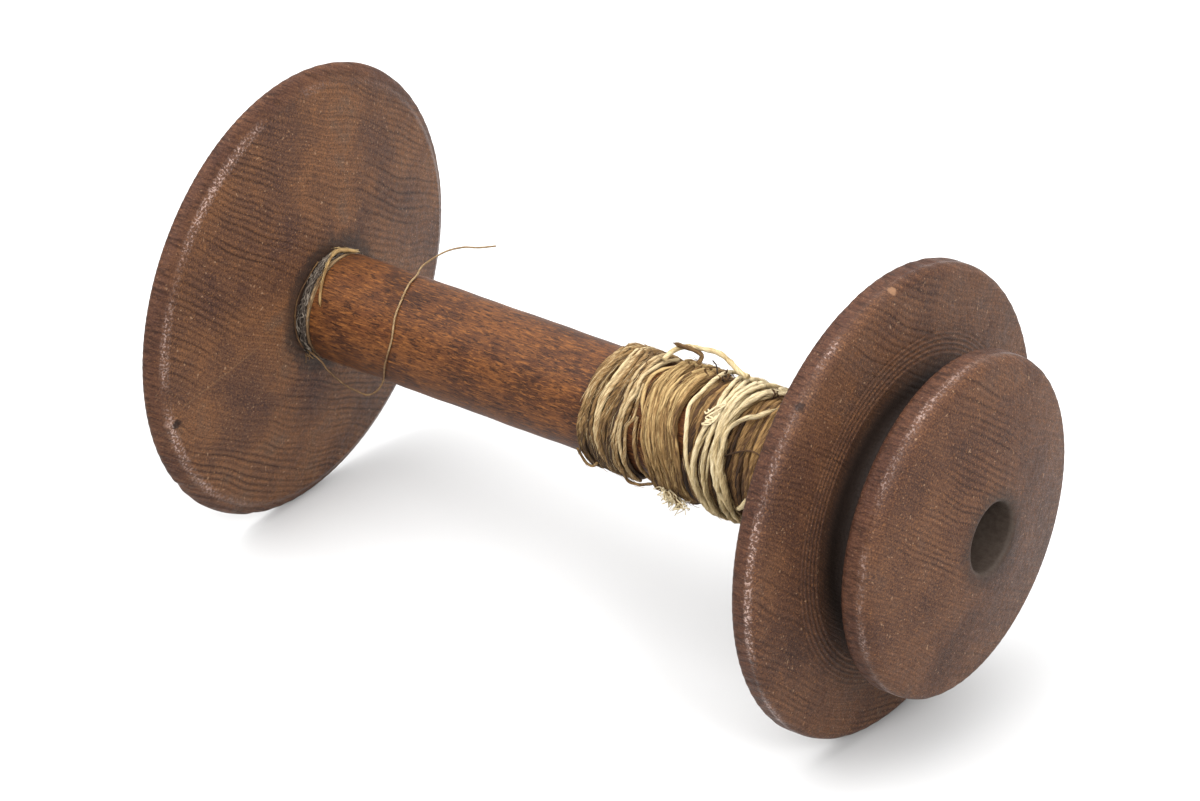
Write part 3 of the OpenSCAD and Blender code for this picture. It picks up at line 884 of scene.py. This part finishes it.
def make_brown_winding():
    strands = Strands()
    base = joined_turns([[(60, x), (150, x + 0.3), (240, x + 0.2)]
                         for x in np.arange(19.4, BROWN_HIGH_X, 1.0)])
    strands.add(wound(base, BARREL_R + 0.35, 0.12, 0.06), 1.1, 0.75, tone=0.35)
    for x in np.arange(18.7, 38.8, 0.95):
        slant = rng.normal(1.2, 0.7) if x > 26 else rng.normal(0.4, 0.3)
        route = [(60, x - slant / 2), (105, x), (150, x + slant / 2), (190, x + slant),
                 (250, x + slant / 2), (330, x), (410, x)]
        path = brown_path(route, 0.0, 0.8, 0.15, 0.1)
        strands.add(path, rng.uniform(0.55, 0.9), 0.6, tone=rng.uniform(0.1, 0.75))
        strands.fuzz(path, 14, 6, thickness=0.08)
        strands.add(brown_path(route, 0.5, 0.72, 0.2, 0.12), rng.uniform(0.4, 0.7), 0.5,
                    tone=rng.uniform(0.0, 0.6))
    # small snarls of dark fibre along the top
    snarl_r = BARREL_R + 1.7
    for angle, x in ((88, 17.2), (84, 18.4), (80, 27.4)):
        turn = math.radians(angle)
        middle = np.array([x, snarl_r * math.cos(turn), snarl_r * math.sin(turn)])
        for _ in range(9):
            curl = middle + np.cumsum(rng.normal(0, 0.35, (5, 3)), 0)
            strands.add(smooth(curl, 0.2), rng.uniform(0.15, 0.3), sides=6, tone=rng.uniform(-0.1, 0.5),
                        flat_out=False, taper=(0.3, 0.3))
    fibre = smooth([(17.5, 1, 10.8), (16, 2.8, 11), (14.5, 4, 10.8)], 0.3)
    strands.add(fibre, 0.22, sides=6, tone=-0.2, flat_out=False)
    strands.add(wound(BROWN_CROSS, BARREL_R + 1.5, 0.02, 0.02), 0.32, tone=-0.1)
    strands.finish("brown_underlayer", BROWN, ["brown_winding"])


def make_cream_winding():
    strands = Strands()
    for i, turn in enumerate(CREAM_TURNS):
        path = wound(full_turn(turn), BARREL_R + 1.75 + 0.2 * (i % 2), 0.1, 0.1)
        strands.add(path, rng.uniform(0.6, 0.76), 0.7, sides=10, tone=0.72 + rng.normal(0, 0.1), ply=0.12)
        strands.fuzz(path, 20, 5)
        closer = [(a, x + 0.65 - 0.0004 * (a - 100) ** 2 / 10) for a, x in turn]
        beside = wound(full_turn(closer), BARREL_R + 1.35, 0.2, 0.1)
        strands.add(beside, rng.uniform(0.35, 0.5), 0.5, tone=0.35 + rng.normal(0, 0.12), ply=0.12)
        strands.fuzz(beside, 10, 5)
    for route, width, tone in ((CREAM_LOOSE, 0.75, 0.45), (CREAM_TOP, 0.7, 0.6)):
        path = wound(route, BARREL_R + 2.0, 0.05, 0.06)
        strands.add(path, width, 0.75, tone=tone, taper=(2, 2))
        strands.fuzz(path, 20, 5)
    # a frayed crook of thin yarn, doubled, over the cream turns
    for shift in (0, 0.35):
        strands.add(smooth(np.array(CREAM_CROOK) + shift, 0.25), 0.28, sides=6, tone=0.9, flat_out=False)
    strands.finish("cream_yarn_turns", CREAM, ["cream_winding"])


def make_cream_turn():
    strands = Strands()
    path = wound(full_turn(CREAM_LONE), BARREL_R + 1.95, 0.03, 0.04)
    strands.add(path, 0.62, 0.66, sides=10, tone=0.6)
    strands.fuzz(path, 14, 4)
    strands.finish("cream_lone_turn", CREAM, ["cream_turn"])


# the same routes as the solids, in X, Y and Z
ARCH_ROUTE = [(8.5, -0.5, 11), (8.5, 2, 11.5), (10, 3.5, 12), (12.5, 3.5, 12.5), (15.5, 4, 12.5),
              (18, 3.5, 12), (20.5, 2.5, 11.5), (22.5, 2, 11.5)]
STUB_ROUTE = [(13.5, 1.5, 11), (13.5, 2.5, 12), (12, 2.5, 12.5), (10, 2.5, 12.5), (8, 2.5, 12.5)]
LEFT_LOOP_ROUTE = [(-0.5, -10.5, -3), (-0.5, -9, -5.5), (0, -8.5, -6.5), (1, -8.5, -6.5), (2.5, -9.5, -5)]
MIDDLE_LOOP_ROUTE = [(8, -10.5, -4), (8, -9, -6.5), (10, -9, -6.5), (12, -9.5, -5.5), (13.5, -10.5, -4.5)]
KNOT_ROUTE = [(15, -9.5, -5.5), (16.5, -9, -6.5), (17.5, -9, -7), (18.5, -9.5, -7)]
END_ROUTE = [(29, -9.5, -4), (30, -10, -3), (31, -10.5, -1.5)]
STRAND_ROUTE = [(-53.5, 3.5, 8.5), (-55, 2, 9), (-55.5, 0, 9.5), (-55, -2.5, 9), (-54, -5, 8),
                (-53.5, -6.5, 6.5), (-53, -7.5, 5), (-52.5, -8, 4)]

# finer things on the yarn and in the neck
KNOT_FIBRES, LINT_FIBRES = 70, 520
NECK_TURNS_X = (-55.5, -55.1, -54.8, -55.3, -55.0)
NECK_LOOP = [(112, -56.3), (130, -56.2), (150, -56.5), (170, -56.5), (190, -56.2), (205, -55.6)]


def make_loose_strands():
    for name, route, width, tone, material, slot, node in (
            ("cream_arch_yarn", ARCH_ROUTE, 0.85, 0.35, CREAM, "cream_yarn", "cream_arch"),
            ("brown_stub_yarn", STUB_ROUTE, 0.75, -0.05, TAN, "brown_yarn", "brown_stub"),
            ("left_loop_yarn", LEFT_LOOP_ROUTE, 0.45, 0.45, MIXED, "brown_yarn", "left_loop"),
            ("middle_loop_yarn", MIDDLE_LOOP_ROUTE, 0.5, 0.45, MIXED, "brown_yarn", "middle_loop"),
            ("short_end_yarn", END_ROUTE, 0.8, 0.75, CREAM, "cream_yarn", "short_end")):
        strands = Strands()
        path = smooth(route, 0.3)
        strands.add(path, width, tone=tone, flat_out=False, taper=(0, 1.0) if "stub" in name else (0, 0))
        strands.fuzz(path, 8, 2.5, thickness=0.06, stray=0.4)
        strands.finish(name, material, [node])


def make_frayed_knot():
    strands = Strands()
    spine = smooth(KNOT_ROUTE, 0.3)
    strands.add(spine, 0.6, tone=0.35, flat_out=False, taper=(0.5, 0.5))
    for _ in range(KNOT_FIBRES):
        start = spine[rng.integers(0, len(spine))] + rng.normal(0, 0.25, 3)
        aim = unit(np.array([rng.normal(0, 0.9), -0.3 + rng.normal(0, 0.5), -0.8 + rng.normal(0, 0.5)]))
        bend = rng.normal(0, 0.5, 3)
        reach = rng.uniform(0.8, 2.2)
        strands.add(smooth([start, start + aim * reach * 0.5 + bend * 0.6, start + aim * reach], 0.2),
                    rng.uniform(0.1, 0.22), sides=4, tone=1.1, flat_out=False, ply=0)
    stub = smooth([(17, -9, -6.5), (17.6, -9.1, -7.3), (17.5, -9.2, -8.3)], 0.25)
    strands.add(stub, 0.75, tone=-0.1, flat_out=False, taper=(0, 0.4))
    strands.finish("frayed_knot_fibres", CREAM, ["frayed_knot"])


def make_neck():
    matted = Strands()
    core = joined_turns([[(60, x), (180, x), (300, x)] for x in (END_HUB_X + 0.3, END_HUB_X + 0.9)])
    matted.add(wound(core, SPIGOT_R + 0.7, 0.1, 0.1), 1.0, 1.3, tone=-0.2)
    for _ in range(LINT_FIBRES):
        angle, turn_by = rng.uniform(0, 360), rng.uniform(4, 22)
        x = END_HUB_X + rng.uniform(0.0, 1.5)
        route = [(angle + turn_by * t, x + rng.normal(0, 0.25)) for t in (0, 0.33, 0.66, 1)]
        matted.add(wound(route, SPIGOT_R + rng.uniform(1.0, 1.65), 0.15, 0.12), rng.uniform(0.1, 0.3),
                   sides=4, tone=rng.choice([0.15, 0.4, 0.75], p=[0.35, 0.35, 0.3]), taper=(0.4, 0.4),
                   ply=0)
    matted.finish("matted_lint", LINT, ["neck_lint"])
    turns = Strands()
    route = joined_turns([[(60, x), (180, x + 0.1), (300, x + 0.15)] for x in NECK_TURNS_X])
    turns.add(wound(route, np.linspace(SPIGOT_R + 0.3, SPIGOT_R + 1.1, len(route)), 0.06), 0.5, tone=0.4)
    turns.finish("neck_thread_turns", THREAD, ["neck_thread"])
    flat = Strands()
    path = smooth(STRAND_ROUTE, 0.3)
    flat.add(path[:len(path) // 2], 1.1, 0.6, tone=0.55, taper=(1, 3))
    flat.add(path, 0.4, 0.45, tone=0.45, taper=(1, 0.5))
    flat.fuzz(path, 16, 4)
    flat.add(wound(NECK_LOOP, HUB_R + 0.15, 0.05, 0.05), 0.22, sides=6, tone=-0.1)
    for _ in range(6):
        start = np.array([-55.3, -7.9, -5.0]) + rng.normal(0, 0.3, 3)
        aim = np.array([rng.uniform(0.5, 1.6), rng.uniform(-0.8, 0.1), rng.uniform(-1.4, 0.2)])
        flat.add(smooth([start, start + aim * 0.5 + rng.normal(0, 0.15, 3), start + aim], 0.2), 0.12,
                 sides=4, tone=0.35, flat_out=False, ply=0)
    flat.finish("neck_flat_strand", TAN, ["neck_strand"])


make_striped_winding()
make_tan_winding()
make_brown_winding()
make_cream_winding()
make_cream_turn()
make_loose_strands()
make_frayed_knot()
make_neck()


# ---------------- studio

def plain(name, colour, rough):
    s = Shader(name)
    s.surface.inputs["Base Color"].default_value = colour
    s.surface.inputs["Roughness"].default_value = rough
    return s.material


def make_floor():
    """A plain white table under the two rims."""
    mesh = bpy.data.meshes.new("floor")
    size = 6.0
    z = -FLANGE_R * MM - 0.0001   # a hair below the rims
    mesh.from_pydata([(-size, -size, z), (size, -size, z), (size, size, z), (-size, size, z)], [],
                     [(0, 1, 2, 3)])
    mesh.materials.append(plain("floor", (0.55, 0.55, 0.55, 1), 0.9))
    floor = bpy.data.objects.new("floor", mesh)
    bpy.context.scene.collection.objects.link(floor)


def add_softbox(name, place, size, power):
    """A rectangular lamp that faces the object."""
    light = bpy.data.lights.new(name, "AREA")
    light.shape = "RECTANGLE"
    light.size, light.size_y = size
    light.energy = power
    lamp = bpy.data.objects.new(name, light)
    lamp.location = place
    lamp.rotation_mode = "QUATERNION"
    lamp.rotation_quaternion = Vector(place).to_track_quat("Z", "Y")
    bpy.context.scene.collection.objects.link(lamp)


def light_scene():
    """An even white sky that is dimmer at the horizon, and two softboxes."""
    horizon, zenith = 0.45, 3.0
    world = bpy.data.worlds.new("studio")
    world.use_nodes = True
    tree = world.node_tree
    background = tree.nodes["Background"]
    background.inputs[0].default_value = (1, 1, 1, 1)
    way = tree.nodes.new("ShaderNodeTexCoord")
    height = tree.nodes.new("ShaderNodeSeparateXYZ")
    strength = tree.nodes.new("ShaderNodeMapRange")
    strength.inputs[3].default_value, strength.inputs[4].default_value = horizon, zenith
    tree.links.new(way.outputs["Generated"], height.inputs[0])
    tree.links.new(height.outputs[2], strength.inputs[0])
    tree.links.new(strength.outputs[0], background.inputs[1])
    bpy.context.scene.world = world
    add_softbox("key", (-0.15, -0.55, 1.1), (0.9, 0.9), 10)
    add_softbox("front", (0.9, -0.55, 0.75), (0.35, 0.35), 8)
    bpy.context.scene.view_settings.view_transform = "Standard"


make_floor()
light_scene()
